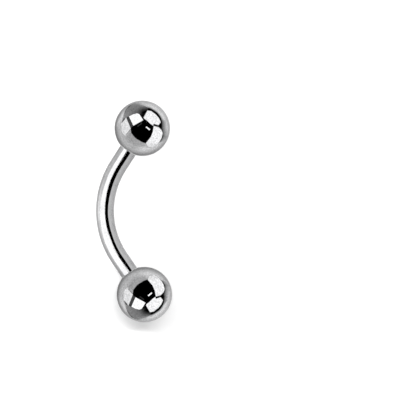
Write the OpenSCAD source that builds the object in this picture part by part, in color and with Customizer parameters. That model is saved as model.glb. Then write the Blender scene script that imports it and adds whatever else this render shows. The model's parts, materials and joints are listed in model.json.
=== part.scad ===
// Curved barbell with a ball screwed into each end of its bar.
// It lies as it rests by itself, on both balls and the middle of the bar:
// the ends lie along Y, the bar bulges towards -X and dips to the floor.

/* [Bar] */
// Diameter of the bar
bar_d = 1.2; // [1.1:0.1:1.6]
// Straight distance between the centres of the bar's two end faces
bar_span = 8.2; // [7:0.1:12]
// Angle between each end of the bar and the line through both ends
end_angle = 33.5; // [25:0.5:40]
// Straight stretch between the bend and each end face
straight_end = 1.2; // [0.8:0.1:2]
// Bevel round the rim of each end face
end_bevel = 0.05; // [0.02:0.01:0.08]

/* [Balls] */
// Diameter of each ball
ball_d = 3.7; // [3:0.05:5]
// Gap between a ball's flat seat and the bar's end face
seat_gap = 0.02; // [0.01:0.01:0.05]

/* [Threaded posts] */
// Diameter of a post over its thread crests
post_d = 0.9; // [0.7:0.05:0.95]
// Length of a post from the ball's seat to its tip
post_len = 1.0; // [0.7:0.05:1.6]
// Distance from one thread crest to the next
thread_pitch = 0.225; // [0.15:0.005:0.3]
// Depth of the thread's groove
thread_depth = 0.13; // [0.08:0.01:0.16]
// Bevel round the tip of a post
tip_bevel = 0.12; // [0.05:0.01:0.2]

/* [Bores] */
// Radial clearance between a post's crests and the bore that takes it
bore_clearance = 0.01; // [0.01:0.01:0.03]
// Depth of a bore beyond the tip of its post
bore_spare = 0.25; // [0.1:0.05:0.5]
// Angle of the drill's point, which leaves a cone at the bottom of each bore
drill_angle = 118; // [90:2:140]
// Bevel round the mouth of each bore
mouth_bevel = 0.03; // [0.01:0.01:0.04]

/* [Hidden] */
$fn = 96;
// How far a post's root reaches into its ball, and its facets per turn and per pitch
post_root = 0.1;
post_sides = 16;
rings_per_pitch = 8;
// Shares of the pitch that the thread's flat crest and flat groove take up
crest_share = 0.125;
groove_share = 0.25;
// How far a cutting tool runs past the face that it cuts, and degrees of bend past the middle
overcut = 0.1;
past_middle = 3;

bar_r = bar_d / 2;
ball_r = ball_d / 2;
post_r = post_d / 2;
bore_r = post_r + bore_clearance;
bore_depth = post_len - seat_gap + bore_spare;
bend_r = (bar_span / 2 - straight_end * cos(end_angle)) / sin(end_angle);
// A ball is cut flat to the bar's own width, so that the bar runs into it without a step
seat_to_centre = sqrt(ball_r * ball_r - bar_r * bar_r);
face_to_centre = seat_gap + seat_to_centre;
// From the line through the ball centres down to the middle of the bar's centre line
bar_drop = bend_r * (1 - cos(end_angle)) + (straight_end + face_to_centre) * sin(end_angle);
// Tilt at which both balls and the middle of the bar touch the floor
rest_tilt = asin((ball_r - bar_r) / bar_drop);
// Centres the whole barbell over the origin
ball_x = (bar_drop * cos(rest_tilt) + bar_r - ball_r) / 2;

// Takes the bar's own plane, with the ball centres on its Y axis, to its place on the floor
module lay_down() {
    translate([ball_x, 0, ball_r]) rotate([0, -rest_tilt, 0]) children();
}

// Takes +Z out of the end face at side 1 (upper) or -1 (lower), with that face at the origin
module at_end(side) {
    translate([-face_to_centre * sin(end_angle), side * bar_span / 2, 0])
        rotate([0, 0, -side * end_angle])
            rotate([-side * 90, 0, 0]) children();
}

// Height of the thread's ridge, 0 to 1, at a share of the pitch
function ridge(share) =
    let (from_crest = 2 * abs(share - floor(share) - 0.5))
    max(0, min(1, (1 - groove_share - from_crest) / (1 - groove_share - crest_share)));

// Radius of the post at an angle and a height z, with its tip at z = 0 and its ball above
function post_radius(angle, z) =
    min(post_r - thread_depth * (1 - ridge(z / thread_pitch - angle / 360)),
        post_r - tip_bevel + z);

// A right-handed screw, standing on its tip
module screw(length) {
    rings = ceil(length / thread_pitch * rings_per_pitch);
    points = [for (i = [0:rings], j = [0:post_sides - 1])
        let (z = length * i / rings, angle = 360 * j / post_sides, r = post_radius(angle, z))
        [r * cos(angle), r * sin(angle), z]];
    sides = [for (i = [0:rings - 1], j = [0:post_sides - 1])
        let (next = (j + 1) % post_sides, low = i * post_sides, high = low + post_sides)
        each [[low + j, high + j, high + next], [low + j, high + next, low + next]]];
    tip = [for (j = [0:post_sides - 1]) j];
    root = [for (j = [post_sides - 1:-1:0]) rings * post_sides + j];
    polyhedron(points, concat([tip, root], sides), convexity = 8);
}

// The straight end of the bar, bevelled round its end face, and the bend that follows it
module end_and_bend() {
    translate([0, 0, -straight_end]) cylinder(r = bar_r, h = straight_end - end_bevel);
    translate([0, 0, -end_bevel]) cylinder(r1 = bar_r, r2 = bar_r - end_bevel, h = end_bevel);
    translate([bend_r, 0, -straight_end]) rotate([-90, 0, 180])
        rotate_extrude(angle = end_angle + past_middle) translate([bend_r, 0]) circle(r = bar_r);
}

// What the drill takes out below an end face
module bore() {
    drill_point = bore_r / tan(drill_angle / 2);
    translate([0, 0, -bore_depth]) cylinder(r = bore_r, h = bore_depth + overcut);
    translate([0, 0, -bore_depth - drill_point]) cylinder(r1 = 0, r2 = bore_r, h = drill_point);
    translate([0, 0, -mouth_bevel])
        cylinder(r1 = bore_r, r2 = bore_r + mouth_bevel + overcut, h = mouth_bevel + overcut);
}

// The upper half of the bar, cut square at its middle and bored from its end face
module half_bar() difference() {
    intersection() {
        at_end(1) end_and_bend();
        translate([-bar_span, 0, -bar_span]) cube([2 * bar_span, bar_span, 2 * bar_span]);
    }
    at_end(1) bore();
}

module curved_bar() color("silver") lay_down() {
    half_bar();
    mirror([0, 1, 0]) half_bar();
}

// One ball with its post, screwed into the end at side 1 or -1
module ball_with_post(side) at_end(side) {
    difference() {
        translate([0, 0, face_to_centre]) sphere(r = ball_r);
        translate([0, 0, seat_gap - ball_r]) cylinder(r = ball_r, h = ball_r);
    }
    translate([0, 0, seat_gap - post_len]) screw(post_len + post_root);
}

module upper_ball() color("gainsboro") lay_down() ball_with_post(1);

module lower_ball() color("gainsboro") lay_down() ball_with_post(-1);

curved_bar();
upper_ball();
lower_ball();
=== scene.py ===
import json
import math
import bpy
from mathutils import Matrix, Vector


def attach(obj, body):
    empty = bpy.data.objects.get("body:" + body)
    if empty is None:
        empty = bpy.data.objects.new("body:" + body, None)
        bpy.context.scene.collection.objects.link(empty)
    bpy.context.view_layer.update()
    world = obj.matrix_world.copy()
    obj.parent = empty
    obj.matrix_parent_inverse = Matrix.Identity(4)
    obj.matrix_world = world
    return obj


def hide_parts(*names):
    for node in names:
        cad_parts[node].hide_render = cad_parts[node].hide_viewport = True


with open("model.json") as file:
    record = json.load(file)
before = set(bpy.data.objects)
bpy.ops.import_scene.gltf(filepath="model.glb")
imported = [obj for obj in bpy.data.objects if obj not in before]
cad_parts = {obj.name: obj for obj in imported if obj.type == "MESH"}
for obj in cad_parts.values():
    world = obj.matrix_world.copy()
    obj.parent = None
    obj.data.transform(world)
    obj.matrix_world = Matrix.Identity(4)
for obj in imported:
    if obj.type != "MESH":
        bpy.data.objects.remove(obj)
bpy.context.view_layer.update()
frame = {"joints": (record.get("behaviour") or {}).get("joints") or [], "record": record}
print("frame loaded")

mm = 0.001


def addObject(name, data):
    thing = bpy.data.objects.new(name, data)
    bpy.context.scene.collection.objects.link(thing)
    return thing


# The curve that all three pieces lie on, from the frame's joint and the usual shop sizes

curveSettings = {
    "barDiameter": 1.2 * mm,
    "barSpan": 8.2 * mm,  # straight across between the end faces
    "straightEnd": 1.2 * mm,
    "ballDiameter": 3.7 * mm,
    "seatGap": 0.02 * mm,  # between a ball's seat and the bar's end face
}

upperJoint = next(joint for joint in frame["joints"] if joint["child"] == "upper_end")
endAxis = Vector(upperJoint["axis"]).normalized()
endAngle = math.acos(endAxis.y)
restTilt = math.atan2(endAxis.z, endAxis.x)
barRadius = curveSettings["barDiameter"] / 2
ballRadius = curveSettings["ballDiameter"] / 2
seatGap = curveSettings["seatGap"]
straightEnd = curveSettings["straightEnd"]
halfSpan = curveSettings["barSpan"] / 2
faceToCentre = seatGap + math.sqrt(ballRadius ** 2 - barRadius ** 2)
bendRadius = (halfSpan - straightEnd * math.cos(endAngle)) / math.sin(endAngle)
barDrop = bendRadius * (1 - math.cos(endAngle)) + (straightEnd + faceToCentre) * math.sin(endAngle)
ballAway = halfSpan + faceToCentre * math.cos(endAngle)

inward = Vector((math.cos(restTilt), 0, math.sin(restTilt)))  # from the bar's middle to the balls
chord = Vector((0, 1, 0))  # from the lower ball to the upper one
faceOn = Vector((-math.sin(restTilt), 0, math.cos(restTilt)))  # square off the curve's plane
barMiddle = Vector(frame["record"]["mounts"][0]["pos_m"])
ballsMiddle = barMiddle + inward * barDrop


def endFrame(side):
    # z points out of the end face at side 1, upper, or -1, lower
    out = inward * math.sin(endAngle) + chord * (side * math.cos(endAngle))
    down = faceOn * -side
    across = down.cross(out)
    face = ballsMiddle - inward * (faceToCentre * math.sin(endAngle)) + chord * (side * halfSpan)
    return face, across, down, out


def ballCentre(side):
    return ballsMiddle + chord * (side * ballAway)


# Camera, square onto the curve as in the photo

cameraSettings = {
    "lens": 200,
    "sensor": 36,
    "imageSize": 400,
    "pixelsPerMm": 14.92,
    "ballsMiddlePixel": (143.34, 211.4),  # where the point halfway between the balls shows
    "roll": math.radians(0.72),
    "nearest": 1 * mm,  # what the camera sees begins and ends here
    "farthest": 5,
}


def makeCamera(settings):
    turn = Matrix.Rotation(-settings["roll"], 3, faceOn)
    right = turn @ inward
    up = turn @ chord
    pixel = mm / settings["pixelsPerMm"]
    half = settings["imageSize"] / 2
    aim = ballsMiddle + right * ((half - settings["ballsMiddlePixel"][0]) * pixel)
    aim = aim + up * ((settings["ballsMiddlePixel"][1] - half) * pixel)
    away = settings["imageSize"] * pixel * settings["lens"] / settings["sensor"]
    data = bpy.data.cameras.new("camera")
    data.lens = settings["lens"]
    data.sensor_width = settings["sensor"]
    data.clip_start = settings["nearest"]
    data.clip_end = settings["farthest"]
    camera = addObject("camera", data)
    axes = Matrix((right, up, faceOn)).transposed()
    camera.matrix_world = Matrix.Translation(aim + faceOn * away) @ axes.to_4x4()
    bpy.context.scene.camera = camera
    return camera.matrix_world.translation.copy()


cameraPlace = makeCamera(cameraSettings)
print("camera set")

# Helpers for node trees


def addNode(tree, kind, x, y, settings=None, inputs=None):
    node = tree.nodes.new(kind)
    node.location = (x, y)
    for key, value in (settings or {}).items():
        setattr(node, key, value)
    for key, value in (inputs or {}).items():
        node.inputs[key].default_value = value
    return node


def join(tree, source, output, target, socket):
    tree.links.new(source.outputs[output], target.inputs[socket])


def newGroup(name, inputs, outputs):
    group = bpy.data.node_groups.new(name, "ShaderNodeTree")
    for label, kind, value in inputs:
        socket = group.interface.new_socket(label, in_out="INPUT", socket_type="NodeSocket" + kind)
        if value is not None:
            socket.default_value = value
    for label, kind in outputs:
        group.interface.new_socket(label, in_out="OUTPUT", socket_type="NodeSocket" + kind)
    start = addNode(group, "NodeGroupInput", -900, 0)
    end = addNode(group, "NodeGroupOutput", 700, 0)
    return group, start, end


# Effects that the steel finishes share. Their vectors are in millimetres.


def makeHairlines():
    # long fine scratches that run one way
    group, start, end = newGroup("hairlines", [
        ("Vector", "Vector", None), ("Turn", "Vector", None), ("Scale", "Float", 4.0),
        ("Stretch", "Float", 20.0), ("Width", "Float", 0.01),
    ], [("Lines", "Float")])
    turn = addNode(group, "ShaderNodeVectorRotate", -700, 0, {"rotation_type": "EULER_XYZ"})
    squeeze = addNode(group, "ShaderNodeMath", -700, -250, {"operation": "DIVIDE"}, {0: 1.0})
    factors = addNode(group, "ShaderNodeCombineXYZ", -520, -250, None, {"Y": 1.0, "Z": 1.0})
    scaled = addNode(group, "ShaderNodeVectorMath", -340, 0, {"operation": "MULTIPLY"})
    noise = addNode(group, "ShaderNodeTexNoise", -160, 0, None, {"Detail": 1.0})
    centred = addNode(group, "ShaderNodeMath", 20, 0, {"operation": "SUBTRACT"}, {1: 0.5})
    away = addNode(group, "ShaderNodeMath", 200, 0, {"operation": "ABSOLUTE"})
    lines = addNode(group, "ShaderNodeMapRange", 400, 0, {"interpolation_type": "SMOOTHSTEP"},
                    {"To Min": 1.0, "To Max": 0.0})
    join(group, start, "Vector", turn, "Vector")
    join(group, start, "Turn", turn, "Rotation")
    join(group, start, "Stretch", squeeze, 1)
    join(group, squeeze, 0, factors, "X")
    join(group, turn, 0, scaled, 0)
    join(group, factors, 0, scaled, 1)
    join(group, scaled, 0, noise, "Vector")
    join(group, start, "Scale", noise, "Scale")
    join(group, noise, 0, centred, 0)
    join(group, centred, 0, away, 0)
    join(group, away, 0, lines, "Value")
    join(group, start, "Width", lines, "From Max")
    join(group, lines, 0, end, "Lines")
    return group


def makeTurnedLines():
    # rings that a lathe tool leaves round the z axis
    group, start, end = newGroup("turnedLines", [
        ("Vector", "Vector", None), ("Scale", "Float", 20.0), ("Contrast", "Float", 0.2),
    ], [("Lines", "Float")])
    parts = addNode(group, "ShaderNodeSeparateXYZ", -700, 0)
    flat = addNode(group, "ShaderNodeCombineXYZ", -520, 100)
    reach = addNode(group, "ShaderNodeVectorMath", -340, 100, {"operation": "LENGTH"})
    profile = addNode(group, "ShaderNodeCombineXYZ", -160, 0)
    noise = addNode(group, "ShaderNodeTexNoise", 20, 0, None, {"Detail": 2.0})
    low = addNode(group, "ShaderNodeMath", 20, -250, {"operation": "SUBTRACT"}, {0: 0.5})
    high = addNode(group, "ShaderNodeMath", 20, -420, {"operation": "ADD"}, {0: 0.5})
    lines = addNode(group, "ShaderNodeMapRange", 300, 0)
    join(group, start, "Vector", parts, 0)
    join(group, parts, "X", flat, "X")
    join(group, parts, "Y", flat, "Y")
    join(group, flat, 0, reach, 0)
    join(group, reach, "Value", profile, "X")
    join(group, parts, "Z", profile, "Z")
    join(group, profile, 0, noise, "Vector")
    join(group, start, "Scale", noise, "Scale")
    join(group, start, "Contrast", low, 1)
    join(group, start, "Contrast", high, 1)
    join(group, noise, 0, lines, "Value")
    join(group, low, 0, lines, "From Min")
    join(group, high, 0, lines, "From Max")
    join(group, lines, 0, end, "Lines")
    return group


def makePolishHaze():
    # cloudy film that polishing and handling leave, fine mottling, and the metal's slow ripple
    group, start, end = newGroup("polishHaze", [
        ("Vector", "Vector", None), ("Cloud Scale", "Float", 1.5), ("Ripple Scale", "Float", 0.8),
        ("Mottle Scale", "Float", 9.0),
    ], [("Haze", "Float"), ("Ripple", "Float"), ("Mottle", "Float")])
    cloud = addNode(group, "ShaderNodeTexNoise", -400, 150, None, {"Detail": 5.0, "Roughness": 0.7})
    haze = addNode(group, "ShaderNodeMapRange", -100, 150, {"interpolation_type": "SMOOTHSTEP"},
                   {"From Min": 0.42, "From Max": 0.78})
    ripple = addNode(group, "ShaderNodeTexNoise", -400, -200, None, {"Detail": 1.0})
    fine = addNode(group, "ShaderNodeTexNoise", -400, -500, None, {"Detail": 2.0, "Roughness": 0.6})
    mottle = addNode(group, "ShaderNodeMapRange", -100, -500, None,
                     {"From Min": 0.3, "From Max": 0.7, "To Min": -1.0, "To Max": 1.0})
    join(group, start, "Vector", cloud, "Vector")
    join(group, start, "Cloud Scale", cloud, "Scale")
    join(group, cloud, 0, haze, "Value")
    join(group, start, "Vector", ripple, "Vector")
    join(group, start, "Ripple Scale", ripple, "Scale")
    join(group, start, "Vector", fine, "Vector")
    join(group, start, "Mottle Scale", fine, "Scale")
    join(group, fine, 0, mottle, "Value")
    join(group, haze, 0, end, "Haze")
    join(group, ripple, 0, end, "Ripple")
    join(group, mottle, 0, end, "Mottle")
    return group


wearSettings = {
    "hazeWear": 0.8,  # how far full haze turns the clean colour into the worn one
    "lineWear": 0.35,  # the same for a full line
}


def makeSteelFinish():
    # clean and worn colour and roughness, by haze and lines, and mottled
    group, start, end = newGroup("steelFinish", [
        ("Clean", "Color", (0.78, 0.78, 0.79, 1)), ("Worn", "Color", (0.6, 0.6, 0.61, 1)),
        ("Haze", "Float", 0.0), ("Lines", "Float", 0.0),
        ("Clean Roughness", "Float", 0.04), ("Haze Roughness", "Float", 0.05),
        ("Line Roughness", "Float", 0.1), ("Mottle", "Float", 0.0), ("Mottle Depth", "Float", 0.1),
    ], [("Color", "Color"), ("Roughness", "Float")])
    hazePart = addNode(group, "ShaderNodeMath", -600, 200, {"operation": "MULTIPLY"},
                       {1: wearSettings["hazeWear"]})
    wear = addNode(group, "ShaderNodeMath", -400, 200, {"operation": "MULTIPLY_ADD"},
                   {1: wearSettings["lineWear"]})
    colour = addNode(group, "ShaderNodeMix", -100, 200, {"data_type": "RGBA"})
    level = addNode(group, "ShaderNodeMath", -100, 400, {"operation": "MULTIPLY_ADD"}, {2: 1.0})
    mottled = addNode(group, "ShaderNodeVectorMath", 200, 200, {"operation": "SCALE"})
    addHaze = addNode(group, "ShaderNodeMath", -400, -150, {"operation": "MULTIPLY_ADD"})
    addLines = addNode(group, "ShaderNodeMath", -200, -150, {"operation": "MULTIPLY_ADD"})
    join(group, start, "Haze", hazePart, 0)
    join(group, start, "Lines", wear, 0)
    join(group, hazePart, 0, wear, 2)
    join(group, wear, 0, colour, "Factor")
    join(group, start, "Clean", colour, 6)
    join(group, start, "Worn", colour, 7)
    join(group, start, "Mottle", level, 0)
    join(group, start, "Mottle Depth", level, 1)
    join(group, colour, 2, mottled, 0)
    join(group, level, 0, mottled, "Scale")
    join(group, mottled, 0, end, "Color")
    join(group, start, "Haze", addHaze, 0)
    join(group, start, "Haze Roughness", addHaze, 1)
    join(group, start, "Clean Roughness", addHaze, 2)
    join(group, start, "Lines", addLines, 0)
    join(group, start, "Line Roughness", addLines, 1)
    join(group, addHaze, 0, addLines, 2)
    join(group, addLines, 0, end, "Roughness")
    return group


hairlines = makeHairlines()
turnedLines = makeTurnedLines()
polishHaze = makePolishHaze()
steelFinish = makeSteelFinish()
print("finish groups made")


def useGroup(tree, group, x, y, inputs):
    return addNode(tree, "ShaderNodeGroup", x, y, {"node_tree": group}, inputs)


def paintShade(tree, finish, shader, dark):
    # painted shade: darkens the base colour where less light gets into a groove or a bore, and at the
    # bar's edges beside a ball, where it stands in for the ball's dark reflection
    paintedShade = addNode(tree, "ShaderNodeAttribute", -400, 500, {"attribute_name": "paintedShade"})
    kept = addNode(tree, "ShaderNodeMath", -200, 500, {"operation": "MULTIPLY_ADD"}, {1: -dark, 2: 1.0})
    shaded = addNode(tree, "ShaderNodeVectorMath", -100, 300, {"operation": "SCALE"})
    join(tree, paintedShade, "Fac", kept, 0)
    join(tree, kept, 0, shaded, "Scale")
    join(tree, finish, "Color", shaded, 0)
    join(tree, shaded, 0, shader, "Base Color")


def steelBase(name, settings):
    # a metal shader with the haze and finish groups in place
    material = bpy.data.materials.new(name)
    material.use_nodes = True
    tree = material.node_tree
    shader = tree.nodes["Principled BSDF"]
    shader.inputs["Metallic"].default_value = 1.0
    spots = addNode(tree, "ShaderNodeAttribute", -1500, 0, {"attribute_name": "straightened"})
    haze = useGroup(tree, polishHaze, -1200, 200, {"Cloud Scale": settings["cloudScale"]})
    finish = useGroup(tree, steelFinish, -400, 200, {
        "Clean": (*settings["clean"], 1), "Worn": (*settings["worn"], 1),
        "Clean Roughness": settings["roughness"], "Haze Roughness": settings["hazeRoughness"],
        "Line Roughness": settings["lineRoughness"], "Mottle Depth": settings["mottleDepth"],
    })
    join(tree, spots, "Vector", haze, "Vector")
    join(tree, haze, "Haze", finish, "Haze")
    join(tree, haze, "Mottle", finish, "Mottle")
    join(tree, finish, "Color", shader, "Base Color")
    join(tree, finish, "Roughness", shader, "Roughness")
    if settings["paintedShadeDark"]:
        paintShade(tree, finish, shader, settings["paintedShadeDark"])
    return material, tree, shader, spots, haze, finish


def addBump(tree, source, output, height, x, y, before=None):
    # height is in millimetres for a change of 1
    bump = addNode(tree, "ShaderNodeBump", x, y, None, {"Strength": 1.0, "Distance": height * mm})
    join(tree, source, output, bump, "Height")
    if before:
        join(tree, before, "Normal", bump, "Normal")
    return bump


def polishedSteel(name, settings):
    # two sets of hairlines that cross
    material, tree, shader, spots, haze, finish = steelBase(name, settings)
    both = addNode(tree, "ShaderNodeMath", -900, -200, {"operation": "MAXIMUM"})
    for i, (turn, scale) in enumerate(zip(settings["turns"], settings["lineScales"])):
        lines = useGroup(tree, hairlines, -1200, -100 - 250 * i, {
            "Turn": turn, "Scale": scale, "Stretch": settings["stretch"], "Width": settings["lineWidth"]})
        join(tree, spots, "Vector", lines, "Vector")
        join(tree, lines, "Lines", both, i)
    join(tree, both, 0, finish, "Lines")
    wave = addBump(tree, haze, "Ripple", settings["rippleHeight"], -500, -200)
    scratch = addBump(tree, both, 0, -settings["lineDepth"], -250, -200, wave)
    join(tree, scratch, "Normal", shader, "Normal")
    return material


def turnedSteel(name, settings):
    material, tree, shader, spots, _, finish = steelBase(name, settings)
    rings = useGroup(tree, turnedLines, -1200, -100, {"Scale": settings["ringScale"]})
    join(tree, spots, "Vector", rings, "Vector")
    join(tree, rings, "Lines", finish, "Lines")
    bump = addBump(tree, rings, "Lines", settings["ringHeight"], -400, -200)
    join(tree, bump, "Normal", shader, "Normal")
    return material


# Scales count per millimetre, heights and depths are in millimetres, and paintedShadeDark is the share of
# its colour that painted shade takes from the darkest spot

finishSettings = {
    "ballPolish": {
        "clean": (0.8, 0.8, 0.81), "worn": (0.62, 0.62, 0.63),
        "roughness": 0.03, "hazeRoughness": 0.03, "lineRoughness": 0.06,
        "cloudScale": 2.4, "mottleDepth": 0.14, "paintedShadeDark": 0, "rippleHeight": 0.0008,
        "turns": ((0.3, 0.5, 1.1), (1.2, 0.2, 2.4)), "lineScales": (3.0, 4.8), "stretch": 24.0,
        "lineWidth": 0.006, "lineDepth": 0.00006,
    },
    "barPolish": {
        "clean": (0.76, 0.76, 0.77), "worn": (0.6, 0.6, 0.61),
        "roughness": 0.035, "hazeRoughness": 0.03, "lineRoughness": 0.06,
        "cloudScale": 1.6, "mottleDepth": 0.06, "paintedShadeDark": 0.5, "rippleHeight": 0.0004,
        "turns": ((0.0, 1.5708, 0.0), (0.06, 1.5, 0.1)), "lineScales": (6.0, 9.6), "stretch": 40.0,
        "lineWidth": 0.008, "lineDepth": 0.00006,
    },
    "turnedFace": {
        "clean": (0.74, 0.74, 0.75), "worn": (0.5, 0.5, 0.51),
        "roughness": 0.12, "hazeRoughness": 0.08, "lineRoughness": 0.14,
        "cloudScale": 3.0, "mottleDepth": 0.08, "paintedShadeDark": 0,
        "ringScale": 24.0, "ringHeight": 0.0012,
    },
    "cutThread": {
        "clean": (0.7, 0.7, 0.71), "worn": (0.36, 0.36, 0.37),
        "roughness": 0.16, "hazeRoughness": 0.1, "lineRoughness": 0.2,
        "cloudScale": 5.0, "mottleDepth": 0.08, "paintedShadeDark": 0.94,
        "ringScale": 40.0, "ringHeight": 0.0015,
    },
}

ballPolish = polishedSteel("ballPolish", finishSettings["ballPolish"])
barPolish = polishedSteel("barPolish", finishSettings["barPolish"])
turnedFace = turnedSteel("turnedFace", finishSettings["turnedFace"])
cutThread = turnedSteel("cutThread", finishSettings["cutThread"])
print("steel finishes made")

# Mesh building: every piece is a skin over rings of points

sides = 128
sharpAngle = math.radians(28)  # faces that meet at more than this keep a hard edge
polished, turned, threaded = 0, 1, 2  # places in a piece's list of finishes
ringAngles = [2 * math.pi * j / sides for j in range(sides)]


def steadyRing(middle, first, second, radius, along, finish):
    return {"middle": middle, "first": first, "second": second, "radii": [radius] * sides,
            "paintedShade": [0.0] * sides, "along": along, "finish": finish}


def skinRings(name, rings, materials):
    # a ring whose radius is 0 closes the skin in one point, and a band has its second ring's finish
    places = []
    straightened = []
    depths = []
    starts = []
    for ring in rings:
        starts.append(len(places))
        closed = ring["radii"][0] == 0
        for j in range(1 if closed else sides):
            c = math.cos(ringAngles[j]) * ring["radii"][j]
            s = math.sin(ringAngles[j]) * ring["radii"][j]
            places.append(ring["middle"] + ring["first"] * c + ring["second"] * s)
            straightened.append((c / mm, s / mm, ring["along"] / mm))
            depths.append(ring["paintedShade"][j])
    faces = []
    finishes = []
    for i in range(len(rings) - 1):
        low, high = starts[i], starts[i + 1]
        lowPoint = rings[i]["radii"][0] == 0
        highPoint = rings[i + 1]["radii"][0] == 0
        for j in range(sides):
            k = (j + 1) % sides
            if lowPoint:
                faces.append((low, high + k, high + j))
            elif highPoint:
                faces.append((low + j, low + k, high))
            else:
                faces.append((low + j, low + k, high + k, high + j))
            finishes.append(rings[i + 1]["finish"])
    mesh = bpy.data.meshes.new(name)
    mesh.from_pydata(places, [], faces)
    for material in materials:
        mesh.materials.append(material)
    mesh.polygons.foreach_set("material_index", finishes)
    mesh.polygons.foreach_set("use_smooth", [True] * len(faces))
    spots = mesh.attributes.new("straightened", "FLOAT_VECTOR", "POINT")
    spots.data.foreach_set("vector", [x for spot in straightened for x in spot])
    # painted shade for each point, which darkens the base colour in grooves, bores and beside the balls
    paintedShade = mesh.attributes.new("paintedShade", "FLOAT", "POINT")
    paintedShade.data.foreach_set("value", depths)
    mesh.update()
    mesh.set_sharp_from_angle(angle=sharpAngle)
    return addObject(name, mesh)


# Ball with its threaded post, one piece of steel

threadSettings = {
    "postDiameter": 0.9 * mm,
    "postLength": 1.0 * mm,
    "pitch": 0.225 * mm,
    "depth": 0.13 * mm,
    "tipBevel": 0.12 * mm,
    "crestShare": 0.125,  # share of the pitch that is flat crest
    "grooveShare": 0.25,
    "ringsPerPitch": 16,
    "grooveShade": 0.75,  # painted shade: how much of its colour a groove loses, as it gets less light
}


def threadRidge(share):
    # 1 on the crest, 0 in the groove
    crest = threadSettings["crestShare"]
    groove = threadSettings["grooveShare"]
    fromCrest = 2 * abs(share - math.floor(share) - 0.5)
    return max(0, min(1, (1 - groove - fromCrest) / (1 - groove - crest)))


def ridgeAt(height, angle):
    # height is measured from the post's tip when it is screwed home
    return threadRidge(height / threadSettings["pitch"] - angle / (2 * math.pi))


ballSettings = {
    "seatEdge": 0.012 * mm,  # width of the fine edges of seat, post and tip
    "seatRings": (0.4, 0.7, 0.9),  # shares of the way out from the post to the bar's width
    "lastSeatRing": 0.125,  # how far inside the bar's width it stays, as a share of the edge
    "ballRings": 88,
}


def makeBall(name, side):
    # from the post's tip up its thread, out over the flat seat and round the ball
    face, across, down, out = endFrame(side)
    postRadius = threadSettings["postDiameter"] / 2
    length = threadSettings["postLength"]
    depth = threadSettings["depth"]
    tipRadius = postRadius - threadSettings["tipBevel"]
    count = math.ceil(length / threadSettings["pitch"] * threadSettings["ringsPerPitch"])
    edge = ballSettings["seatEdge"]

    def ringAt(z, radius, finish):
        return steadyRing(face + out * z, across, down, radius, z, finish)

    rings = [ringAt(seatGap - length, 0, turned), ringAt(seatGap - length, tipRadius - edge, turned)]
    for i in range(count + 1):
        height = length * i / count
        ring = ringAt(seatGap - length + height, postRadius, threaded)
        ridges = [ridgeAt(height, angle) for angle in ringAngles]
        ring["radii"] = [min(postRadius - depth * (1 - r), tipRadius + height) for r in ridges]
        # painted shade in the thread's grooves
        ring["paintedShade"] = [threadSettings["grooveShade"] * (1 - r) for r in ridges]
        rings.append(ring)
    rings.append(ringAt(seatGap, postRadius + edge, turned))
    for share in ballSettings["seatRings"]:
        rings.append(ringAt(seatGap, postRadius + (barRadius - postRadius) * share, turned))
    rings.append(ringAt(seatGap, barRadius - edge, turned))
    rings.append(ringAt(seatGap, barRadius - edge * ballSettings["lastSeatRing"], turned))
    seatAngle = math.asin(barRadius / ballRadius)
    turns = [seatAngle, seatAngle + edge / ballRadius]
    steps = ballSettings["ballRings"]
    turns += [seatAngle + (math.pi - seatAngle) * i / steps for i in range(1, steps)]
    for turn in turns:
        z = faceToCentre - ballRadius * math.cos(turn)
        rings.append(ringAt(z, ballRadius * math.sin(turn), polished))
    rings.append(ringAt(faceToCentre + ballRadius, 0, polished))
    return skinRings(name, rings, [ballPolish, turnedFace, cutThread])


upperBall = makeBall("upperBallWithPost", 1)
lowerBall = makeBall("lowerBallWithPost", -1)
print("balls made")

# Bent bar with a threaded bore in each end

barSettings = {
    "rimBevel": 0.05 * mm,
    "rimSteps": 6,
    "boreDepth": 1.23 * mm,
    "boreClearance": 0.012 * mm,
    "boreThread": 0.045 * mm,  # cut outwards, so that the post slides past it
    "threadLead": 8,  # rings at the bottom over which that thread grows to its depth
    "mouthBevel": 0.03 * mm,
    "mouthLip": (0.9, 0.4),  # how far down and out the thread ends, in bevels of the mouth
    "drillAngle": math.radians(118),
    "drillEdge": 0.01 * mm,  # how much narrower than the bore the drill's point is
    "faceRings": (0.25, 0.5, 0.75),  # shares of the way across the end face
    "straightRings": (0.01, 0.25, 0.5, 0.75),  # shares of the way from the rim to the bend
    "lightReach": 0.55 * mm,  # painted shade: how far down the bore light is taken to get, past which its colour is fully darkened
    "shadeReach": 1.2 * mm,  # painted reflection and shade: how far from a ball the bar's edges are darkened, standing in for the ball mirrored there
    "shadeInner": 0.5,  # how much of that the inner edge gets, where the bulging one gets it all
    "shadeFocus": 4,  # higher keeps it closer to the edges
    "bendRings": 96,
}


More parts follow.
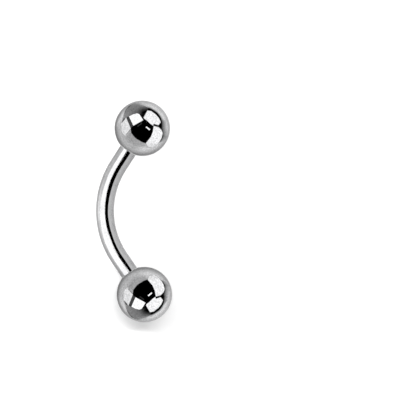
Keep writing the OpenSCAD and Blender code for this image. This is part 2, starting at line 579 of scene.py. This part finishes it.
def endRings(side):
    # from the bottom of the bore out over the rim, up to the bend
    face, across, down, out = endFrame(side)
    middleSide = -across
    topSide = down * -side
    bore = threadSettings["postDiameter"] / 2 + barSettings["boreClearance"]
    depth = barSettings["boreDepth"]
    mouth = barSettings["mouthBevel"]
    rim = barSettings["rimBevel"]
    tip = threadSettings["postLength"] - seatGap
    arcAlong = side * (bendRadius * endAngle + straightEnd)

    def ringAt(z, radius, finish):
        return steadyRing(face + out * z, middleSide, topSide, radius, arcAlong + side * z, finish)

    rings = [ringAt(-depth - bore / math.tan(barSettings["drillAngle"] / 2), 0, threaded),
             ringAt(-depth, bore - barSettings["drillEdge"], threaded)]
    # painted shade: the bottom of the bore is fully darkened
    for ring in rings:
        ring["paintedShade"] = [1.0] * sides
    count = math.ceil((depth - mouth) / threadSettings["pitch"] * threadSettings["ringsPerPitch"])
    for i in range(count + 1):
        z = -depth + (depth - mouth) * i / count
        grown = min(1, i / barSettings["threadLead"])
        ring = ringAt(z, bore, threaded)
        ridges = [grown * ridgeAt(z + tip, math.pi + side * angle) for angle in ringAngles]
        ring["radii"] = [bore + barSettings["boreThread"] * r for r in ridges]
        # painted shade: darker down the bore, and in its thread's grooves near the mouth
        lit = max(0, 1 + z / barSettings["lightReach"])
        ring["paintedShade"] = [1 - lit * (1 - threadSettings["grooveShade"] * r) for r in ridges]
        rings.append(ring)
    lipDown, lipOut = barSettings["mouthLip"]
    rings.append(ringAt(-mouth * lipDown, bore + mouth * lipOut, turned))
    rings.append(ringAt(0, bore + mouth, turned))
    for share in barSettings["faceRings"]:
        rings.append(ringAt(0, bore + mouth + (barRadius - rim - bore - mouth) * share, turned))
    for i in range(barSettings["rimSteps"] + 1):
        turn = math.pi / 2 * i / barSettings["rimSteps"]
        finish = turned if i == 0 else polished
        rings.append(ringAt(rim * (math.cos(turn) - 1), barRadius - rim * (1 - math.sin(turn)), finish))
    inner = barSettings["shadeInner"]
    for share in barSettings["straightRings"]:
        z = -rim - (straightEnd - rim) * share
        ring = ringAt(z, barRadius, polished)
        near = max(0, 1 + z / barSettings["shadeReach"])
        for j, angle in enumerate(ringAngles):
            # painted shade and reflection of the ball on the bar's edges; the bulging edge is at angle 0
            uneven = (1 + inner) / 2 + (1 - inner) / 2 * math.cos(angle)
            ring["paintedShade"][j] = near * uneven * math.cos(angle) ** barSettings["shadeFocus"]
        rings.append(ring)
    return rings


def makeBar(name):
    bendCentre = barMiddle + inward * bendRadius
    rings = endRings(-1)
    steps = barSettings["bendRings"]
    for i in range(steps + 1):
        turn = endAngle * (2 * i / steps - 1)
        away = inward * -math.cos(turn) + chord * math.sin(turn)
        rings.append(steadyRing(bendCentre + away * bendRadius, away, faceOn, barRadius,
                                bendRadius * turn, polished))
    # the upper end runs the other way, so its finishes move on by one ring
    upper = endRings(1)[::-1]
    finishes = [polished] + [ring["finish"] for ring in upper]
    for ring, finish in zip(upper, finishes):
        ring["finish"] = finish
        rings.append(ring)
    return skinRings(name, rings, [barPolish, turnedFace, cutThread])


bentBar = makeBar("bentBar")
print("bar made")

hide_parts("curved_bar")
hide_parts("upper_ball")
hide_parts("lower_ball")
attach(bentBar, "bar")
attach(upperBall, "upper_end")
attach(lowerBall, "lower_end")

pieces = (bentBar, upperBall, lowerBall)
for piece in pieces:
    piece.visible_glossy = False  # the pieces don't mirror each other, as in the photo

# Softboxes: light panels that only the steel mirrors, each linked to one piece

softboxSettings = {
    "ballReach": 30 * mm,  # how far off the panels round a ball stand
    "barReach": 400 * mm,
    "aboveFloor": 0.97,  # a panel that would pass through the floor stops at this share of the way
    "edgeSteps": 6,  # points along each edge of a panel that is given by its corners
    "feather": 0.06,  # share of such a panel over which its edge fades
    "cardFade": 0.04,  # how far inside and outside its edges a soft card fades
}
ringSpots = 180  # points round each ring of a panel that goes all round


def makePanelMaterial():
    material = bpy.data.materials.new("softboxLight")
    material.use_nodes = True
    tree = material.node_tree
    tree.nodes.clear()
    glow = addNode(tree, "ShaderNodeAttribute", -600, 0, {"attribute_name": "glow"})
    light = addNode(tree, "ShaderNodeEmission", -350, 0)
    clear = addNode(tree, "ShaderNodeBsdfTransparent", -350, -150)
    both = addNode(tree, "ShaderNodeAddShader", -120, 0)
    output = addNode(tree, "ShaderNodeOutputMaterial", 80, 0)
    join(tree, glow, "Fac", light, "Strength")
    join(tree, light, 0, both, 0)
    join(tree, clear, 0, both, 1)
    join(tree, both, 0, output, "Surface")
    material.cycles.emission_sampling = "NONE"
    return material


panelMaterial = makePanelMaterial()
pieceLights = {}
for piece in pieces:
    pieceLights[piece.name] = bpy.data.collections.new(piece.name + "Lights")
    pieceLights[piece.name].objects.link(piece)


def mirrorPlace(centre, radius, spot, side, reach, onFloor):
    # follows the sight line past this spot, in radii right and up, and off the steel
    target = centre + (inward * spot[0] + chord * (spot[1] * side)) * radius
    sight = (target - cameraPlace).normalized()
    nearest = (centre - cameraPlace).dot(sight)
    missed = (centre - cameraPlace).length_squared - nearest ** 2
    point = cameraPlace + sight * (nearest - math.sqrt(max(0.0, radius ** 2 - missed)))
    normal = (point - centre).normalized()
    ray = sight - normal * (2 * normal.dot(sight))
    if onFloor and ray.z < 0:
        reach = min(reach, point.z / -ray.z * softboxSettings["aboveFloor"])
    return point + ray * reach


def bandFaces(low, count):
    # between the ring of points that starts at low and the next one
    return [(low + j, low + count + j, low + count + (j + 1) % count, low + (j + 1) % count)
            for j in range(count)]


def gridFaces(rows, columns):
    return [(i * columns + k, i * columns + k + 1, (i + 1) * columns + k + 1, (i + 1) * columns + k)
            for i in range(rows - 1) for k in range(columns - 1)]


def layPanel(name, piece, side, spots, faces, hiddenGlow=None):
    # hiddenGlow closes the part behind the steel, which only other views mirror
    onBall = piece is not bentBar
    centre = ballCentre(side) if onBall else barMiddle
    radius = ballRadius if onBall else barRadius
    reach = softboxSettings["ballReach"] if onBall else softboxSettings["barReach"]
    places = [mirrorPlace(centre, radius, spot, side, reach, onBall) for spot in spots]
    glows = [spot[2] for spot in spots]
    if hiddenGlow is not None:
        last = len(places) - ringSpots
        closing = len(places)
        places.append(sum(places[last:], Vector()) / ringSpots)
        glows.append(hiddenGlow)
        faces = faces + [(last + j, last + (j + 1) % ringSpots, closing) for j in range(ringSpots)]
    mesh = bpy.data.meshes.new(name)
    mesh.from_pydata(places, [], faces)
    glow = mesh.attributes.new("glow", "FLOAT", "POINT")
    glow.data.foreach_set("value", glows)
    mesh.materials.append(panelMaterial)
    panel = addObject(name, mesh)
    panel.visible_camera = False
    panel.visible_diffuse = False
    panel.visible_transmission = False
    panel.visible_volume_scatter = False
    panel.visible_shadow = False
    panel.light_linking.receiver_collection = pieceLights[piece.name]


def fanPanel(name, piece, side, corners, middle=None):
    # corners are right, up and brightness, and the edge fades over the feather's share
    edge = []
    steps = softboxSettings["edgeSteps"]
    for i in range(len(corners)):
        here, there = corners[i], corners[(i + 1) % len(corners)]
        for k in range(steps):
            edge.append([a + (b - a) * k / steps for a, b in zip(here, there)])
    if middle is None:
        middle = [sum(corner[k] for corner in corners) / len(corners) for k in range(3)]
    spots = [tuple(middle)]
    shares = (0.3, 0.6, 1 - softboxSettings["feather"], 1)
    for share in shares:
        for spot in edge:
            glow = 0 if share == 1 else middle[2] + (spot[2] - middle[2]) * share ** 2
            spots.append((middle[0] + (spot[0] - middle[0]) * share,
                          middle[1] + (spot[1] - middle[1]) * share, glow))
    count = len(edge)
    faces = [(0, 1 + j, 1 + (j + 1) % count) for j in range(count)]
    for i in range(len(shares) - 1):
        faces += bandFaces(1 + i * count, count)
    layPanel(name, piece, side, spots, faces)


def edgeAt(edge, degrees):
    # radius and softness of the canopy's edge at an angle, straight between its named points
    points = [(edge[-1][0] - 360, *edge[-1][1:])] + edge + [(edge[0][0] + 360, *edge[0][1:])]
    for here, there in zip(points, points[1:]):
        if here[0] <= degrees <= there[0]:
            share = (degrees - here[0]) / (there[0] - here[0])
            return [a + (b - a) * share for a, b in zip(here[1:], there[1:])]


def roomGlow(settings, radius, degrees):
    # brightest towards one side, fullest just inside the rim and dimmer right at it
    toward = math.cos(math.radians(degrees - settings["brightest"]))
    level = settings["mean"] + settings["swing"] * toward
    off = (radius - settings["humpAt"]) / settings["humpWide"]
    level *= 1 + settings["hump"] * max(0, 1 - off ** 2)
    rim = max(0, min(1, (radius - settings["rimFrom"]) / settings["rimWide"]))
    lost = settings["rimLoss"] - settings["rimLossSwing"] * toward
    return level * (1 - lost * rim * rim * (3 - 2 * rim))


def ringPanel(name, piece, side, edge, settings):
    # the pale room that shows all round a dark canopy
    spots = []
    shares = settings["shares"]
    for i in range(len(shares) + 1):
        for j in range(ringSpots):
            degrees = 360 * j / ringSpots
            inner, soft = edgeAt(edge, degrees)
            if i == 0:
                radius, glow = inner, 0
            else:
                radius = inner + soft + (settings["outer"] - inner - soft) * shares[i - 1]
                glow = roomGlow(settings, radius, degrees)
            spots.append((radius * math.cos(math.radians(degrees)),
                          radius * math.sin(math.radians(degrees)), glow))
    faces = []
    for i in range(len(shares)):
        faces += bandFaces(i * ringSpots, ringSpots)
    layPanel(name, piece, side, spots, faces, settings["behind"])


# Corners are right, up and brightness as they show on the upper ball, in its radii.
# The lower ball has them mirrored.

ballLights = {
    "left": [(-0.485, 0.435, 1.35), (-0.33, 0.51, 1.35), (-0.185, 0.545, 1.35), (-0.1, 0.515, 1.35),
             (0.045, 0.29, 1.35), (-0.325, 0.085, 1.35)],
    "top": [(0.04, 0.385, 1.17), (0.19, 0.65, 1.17), (0.33, 0.625, 1.17), (0.5, 0.495, 1.17),
            (0.605, 0.37, 1.17), (0.65, 0.28, 1.17), (0.68, 0.205, 1.17), (0.59, 0.095, 1.17),
            (0.41, 0.155, 1.17), (0.4, 0.075, 1.17), (0.29, 0.155, 1.17), (0.222, 0.222, 1.17),
            (0.155, 0.285, 1.17), (0.08, 0.335, 1.17)],
    "right": [(0.415, 0.09, 1.17), (0.59, 0.045, 1.17), (0.7, -0.06, 1.17), (0.745, -0.18, 1.17),
              (0.71, -0.34, 1.17), (0.635, -0.48, 1.17), (0.54, -0.58, 1.05), (0.45, -0.65, 0.85),
              (0.355, -0.69, 0.72), (0.2, -0.71, 0.68), (0.14, -0.61, 0.85), (0.12, -0.54, 1.05),
              (0.3, -0.32, 1.17), (0.38, -0.12, 1.17)],
    "low": [(-0.575, 0.4, 0.95), (-0.63, 0.34, 0.95), (-0.755, 0.18, 0.95), (-0.765, 0, 0.95),
            (-0.745, -0.1, 0.95), (-0.705, -0.19, 0.95), (-0.63, -0.265, 0.95), (-0.41, -0.01, 1.05)],
    "lowCorner": [(-0.42, -0.03, 0.5), (-0.63, -0.265, 0.5), (-0.52, -0.22, 0.5), (-0.4, -0.17, 0.5)],
    "seam": [(-0.49, 0.435, 0.07), (-0.335, 0.08, 0.07), (-0.41, 0, 0.07), (-0.56, 0.37, 0.07)],
    "streak": [(-0.19, 0.075, 0.045), (-0.02, 0.2, 0.045), (0, 0.175, 0.045), (-0.16, 0.05, 0.045)],
    "slot": [(0.115, 0.035, 1.3), (0.155, 0.065, 1.3), (0.29, -0.045, 1.3), (0.255, -0.08, 1.3)],
}
lightMiddles = {"right": (0.45, -0.4, 1.17)}  # the others have theirs at their corners' mean

# Angle, radius and softness of the dark canopy's edge

canopyEdge = [
    (0, 0.69, 0.19), (15, 0.725, 0.17), (24, 0.75, 0.08), (30, 0.76, 0.06), (45, 0.765, 0.06),
    (60, 0.76, 0.06), (75, 0.77, 0.09), (90, 0.83, 0.08), (105, 0.91, 0.05), (120, 0.925, 0.03),
    (135, 0.85, 0.05), (142, 0.8, 0.06), (150, 0.735, 0.09), (165, 0.755, 0.02), (180, 0.755, 0.02),
    (195, 0.71, 0.02), (201.5, 0.68, 0.02), (203.5, 0.425, 0.02), (210, 0.415, 0.02),
    (225, 0.415, 0.02), (240, 0.43, 0.02), (255, 0.445, 0.02), (270, 0.5, 0.02),
    (282.4, 0.55, 0.02), (285.5, 0.73, 0.02), (297, 0.755, 0.02), (309, 0.775, 0.02),
    (318, 0.78, 0.02), (326, 0.8, 0.1), (339, 0.8, 0.16), (343, 0.76, 0.18), (350, 0.74, 0.18),
]
ballRoom = {
    "mean": 0.55, "swing": 0.11, "brightest": 45,  # degrees, towards the brightest side
    "hump": 0.32, "humpAt": 0.8, "humpWide": 0.15,
    "rimLoss": 0.33, "rimLossSwing": 0.2, "rimFrom": 0.84, "rimWide": 0.15,
    "outer": 0.997,
    "shares": (0, 0.12, 0.25, 0.4, 0.55, 0.7, 0.8, 0.9, 1),  # of the way from the canopy out
    "behind": 0.2,
}

# Soft cards, by angle: inner and outer radius, then brightness at the inner edge, middle and
# outer edge

ballCards = {
    "dimCard": [
        (72, 0.64, 0.78, 0.005, 0.02, 0.1), (82, 0.5, 0.85, 0.01, 0.035, 0.3),
        (90, 0.48, 0.87, 0.015, 0.06, 0.36), (98, 0.52, 0.91, 0.03, 0.155, 0.34),
        (105, 0.545, 0.925, 0.11, 0.21, 0.31), (115, 0.58, 0.925, 0.18, 0.23, 0.28),
        (125, 0.61, 0.9, 0.22, 0.25, 0.28), (135, 0.645, 0.855, 0.24, 0.285, 0.28),
        (145, 0.68, 0.79, 0.25, 0.3, 0.3), (151, 0.72, 0.75, 0.27, 0.295, 0.3),
    ],
    "leftGleam": [
        (132, 0.88, 0.93, 0, 0, 0), (140, 0.83, 0.94, 0, 0.14, 0), (150, 0.78, 0.93, 0, 0.17, 0),
        (160, 0.8, 0.95, 0, 0.17, 0), (170, 0.84, 0.96, 0, 0.14, 0), (185, 0.88, 0.93, 0, 0, 0),
    ],
    "lowGleam": [
        (250, 0.66, 0.84, 0, 0, 0), (262, 0.62, 0.86, 0, 0.085, 0), (272, 0.61, 0.86, 0, 0.19, 0),
        (284, 0.57, 0.88, 0.1, 0.18, 0), (297, 0.7, 0.9, 0.1, 0.13, 0), (312, 0.78, 0.88, 0.1, 0.06, 0),
    ],
}


def cardPanel(name, piece, side, rows):
    # the brightness curves through a row's three values and fades over its edges
    spots = []
    fade = softboxSettings["cardFade"]
    shares = (-fade, fade, 0.25, 0.5, 0.75, 1 - fade, 1 + fade)
    for degrees, inner, outer, first, middle, last in rows:
        turn = math.radians(degrees)
        for share in shares:
            radius = inner + (outer - inner) * share
            glow = first + (4 * middle - 3 * first - last) * share
            glow += 2 * (first + last - 2 * middle) * share ** 2
            inside = 0 < share < 1
            spots.append((radius * math.cos(turn), radius * math.sin(turn), glow if inside else 0))
    layPanel(name, piece, side, spots, gridFaces(len(rows), len(shares)))


def lightBall(piece, side):
    for part, corners in ballLights.items():
        fanPanel(piece.name + "_" + part, piece, side, corners, lightMiddles.get(part))
    for part, rows in ballCards.items():
        cardPanel(piece.name + "_" + part, piece, side, rows)
    ringPanel(piece.name + "_room", piece, side, canopyEdge, ballRoom)


lightBall(upperBall, 1)
lightBall(lowerBall, -1)

# Each strip has its left and right place across the bar, in its radii, and its brightness at both.
# A row of values is for these turns from the bar's lower to its upper end.

barTurns = [math.radians(degrees) for degrees in (-34, -17, 0, 17, 34)]
whiteEdge = (-0.635, -0.62, -0.545, -0.445, -0.48)
barLights = {
    "outerEdge": (-0.995, -0.8, (0.46, 0.54, 0.6, 0.54, 0.52), (0.48, 0.54, 0.6, 0.54, 0.54)),
    "outerBand": (-0.8, whiteEdge, (0.54, 0.62, 0.95, 0.62, 0.57), (0.64, 0.74, 1.06, 0.76, 0.62)),
    "whiteStrip": (whiteEdge, (0.07, 0.085, -0.055, -0.04, -0.12), 1.36, 1.36),
    "greyCard": ((0.37, 0.4, 0.335, 0.395, 0.385), 0.82, (0.7, 0.72, 0.72, 0.7, 0.66),
                 (0.56, 0.54, 0.54, 0.52, 0.52)),
    "thinLine": (-0.76, -0.67, (0, 0.04, 0.08, 0.14, 0.03), (0, 0.04, 0.08, 0.14, 0.03)),
    "innerEdge": (0.82, 0.995, (0.56, 0.54, 0.54, 0.5, 0.5), (0.6, 0.58, 0.58, 0.5, 0.5)),
}

# These carry on past the ends, where only other views mirror them

barSideLights = {
    "sideEdge": (-0.995, -0.62, 0.5, 0.62),
    "sideWhite": (-0.62, -0.16, 1.3, 1.3),
    "sideCard": (0.36, 0.995, 0.66, 0.5),
}
stripSettings = {
    "steps": 36,
    "endTurn": 36,  # degrees, just past the bar's ends
    "sideTurn": 89,
    "leastWidth": 0.001,  # of each half of a strip
    "capInner": 0.995,
    "capOuter": 0.999,
    "capGlow": 0.45,
}


def between(values, turn):
    # straight between the values at barTurns, and steady past the ends
    if not isinstance(values, tuple):
        return values
    for k in range(len(values) - 1):
        if turn <= barTurns[k + 1] or k == len(values) - 2:
            share = (turn - barTurns[k]) / (barTurns[k + 1] - barTurns[k])
            return values[k] + (values[k + 1] - values[k]) * max(0, min(1, share))


def barStrip(name, strip, first, last):
    # a long panel between two places across the bar, split where it passes the bar's middle
    spots = []
    steps = stripSettings["steps"]
    least = stripSettings["leastWidth"]
    for i in range(steps + 1):
        turn = math.radians(first + (last - first) * i / steps)
        start, stop, startGlow, stopGlow = [between(values, turn) for values in strip]
        for across in (start, max(start + least, min(stop - least, 0)), stop):
            glow = startGlow + (stopGlow - startGlow) * (across - start) / (stop - start)
            spots.append((across * math.cos(turn), -across * math.sin(turn), glow))
    layPanel(name, bentBar, 1, spots, gridFaces(steps + 1, 3))


def barCap(name, settings):
    # closes the strips behind the bar, where only other views mirror it
    spots = []
    for radius in (settings["capInner"], settings["capOuter"]):
        for j in range(ringSpots):
            turn = 2 * math.pi * j / ringSpots
            spots.append((radius * math.cos(turn), radius * math.sin(turn), settings["capGlow"]))
    layPanel(name, bentBar, 1, spots, bandFaces(0, ringSpots), settings["capGlow"])


endTurn, sideTurn = stripSettings["endTurn"], stripSettings["sideTurn"]
for part, strip in barLights.items():
    barStrip("bar_" + part, strip, -endTurn, endTurn)
for part, strip in barSideLights.items():
    barStrip("bar_" + part + "_low", strip, -sideTurn, -endTurn)
    barStrip("bar_" + part + "_high", strip, endTurn, sideTurn)
barCap("bar_behind", stripSettings)
print("softboxes hung")

# Pale floor, lamps and room

roomSettings = {
    "floorSize": 100 * mm,  # white runs on past its edge
    "floorTone": 0.93,
    "floorUneven": 0.01,  # how much darker than that its grain is
    "floorGrain": 900.0,  # per metre
    "floorRoughness": 0.7,
    "ambient": 0.15,
    # in line with the camera, so that the steel hides this lamp's shadows from it
    "frontLamp": {"energy": 0.75, "wide": 40 * mm, "high": 40 * mm,
                  "place": ballsMiddle + (cameraPlace - ballsMiddle) * 2.5},
    "backLamp": {"energy": 8.4, "wide": 1200 * mm, "high": 100 * mm,
                 "place": Vector((-400, 330, 890)) * mm},
}


def makeFloor():
    half = roomSettings["floorSize"] / 2
    mesh = bpy.data.meshes.new("floor")
    mesh.from_pydata([(-half, -half, 0), (half, -half, 0), (half, half, 0), (-half, half, 0)], [],
                     [(0, 1, 2, 3)])
    material = bpy.data.materials.new("paleFloor")
    material.use_nodes = True
    tree = material.node_tree
    shader = tree.nodes["Principled BSDF"]
    shader.inputs["Roughness"].default_value = roomSettings["floorRoughness"]
    shader.inputs["Specular IOR Level"].default_value = 0.0
    spots = addNode(tree, "ShaderNodeTexCoord", -900, 0)
    noise = addNode(tree, "ShaderNodeTexNoise", -700, 0, None,
                    {"Scale": roomSettings["floorGrain"], "Detail": 3.0})
    tone = addNode(tree, "ShaderNodeMapRange", -450, 0, None, {
        "To Min": roomSettings["floorTone"] - roomSettings["floorUneven"],
        "To Max": roomSettings["floorTone"]})
    join(tree, spots, "Object", noise, "Vector")
    join(tree, noise, 0, tone, "Value")
    join(tree, tone, 0, shader, "Base Color")
    mesh.materials.append(material)
    floor = addObject("floor", mesh)
    floor.visible_glossy = False  # the steel mirrors the room panels in its place


def makeLamp(name, settings, blockers=None):
    data = bpy.data.lights.new(name, "AREA")
    data.shape = "ELLIPSE"
    data.size = settings["wide"]
    data.size_y = settings["high"]
    data.energy = settings["energy"]
    lamp = addObject(name, data)
    place = settings["place"]
    away = place.normalized()
    across = chord.cross(away).normalized()
    axes = Matrix((across, away.cross(across), away)).transposed()
    lamp.matrix_world = Matrix.Translation(place) @ axes.to_4x4()
    lamp.visible_glossy = False
    lamp.visible_camera = False
    if blockers:
        lamp.light_linking.blocker_collection = blockers


def makeRoom():
    world = bpy.data.worlds.new("room")
    bpy.context.scene.world = world
    world.use_nodes = True
    tree = world.node_tree
    tree.nodes.clear()
    path = addNode(tree, "ShaderNodeLightPath", -900, 0)
    soft = addNode(tree, "ShaderNodeBackground", -500, 100, None,
                   {"Color": (1, 1, 1, 1), "Strength": roomSettings["ambient"]})
    seen = addNode(tree, "ShaderNodeBackground", -500, -50, None,
                   {"Color": (1, 1, 1, 1), "Strength": 1.0})
    dark = addNode(tree, "ShaderNodeBackground", -500, -200, None,
                   {"Color": (0, 0, 0, 1), "Strength": 1.0})
    byCamera = addNode(tree, "ShaderNodeMixShader", -250, 100)
    byGloss = addNode(tree, "ShaderNodeMixShader", -50, 0)
    output = addNode(tree, "ShaderNodeOutputWorld", 150, 0)
    join(tree, path, "Is Camera Ray", byCamera, "Fac")
    join(tree, soft, 0, byCamera, 1)
    join(tree, seen, 0, byCamera, 2)
    join(tree, path, "Is Glossy Ray", byGloss, "Fac")
    join(tree, byCamera, 0, byGloss, 1)
    join(tree, dark, 0, byGloss, 2)
    join(tree, byGloss, 0, output, "Surface")


makeFloor()
makeLamp("frontLamp", roomSettings["frontLamp"])
# only the lower ball throws this lamp's shadow, as in the photo
makeLamp("backLamp", roomSettings["backLamp"], pieceLights[lowerBall.name])
makeRoom()

scene = bpy.context.scene
scene.view_settings.view_transform = "Standard"
scene.view_settings.look = "None"
scene.cycles.transparent_max_bounces = 32
scene.cycles.use_denoising = True
print("room made")
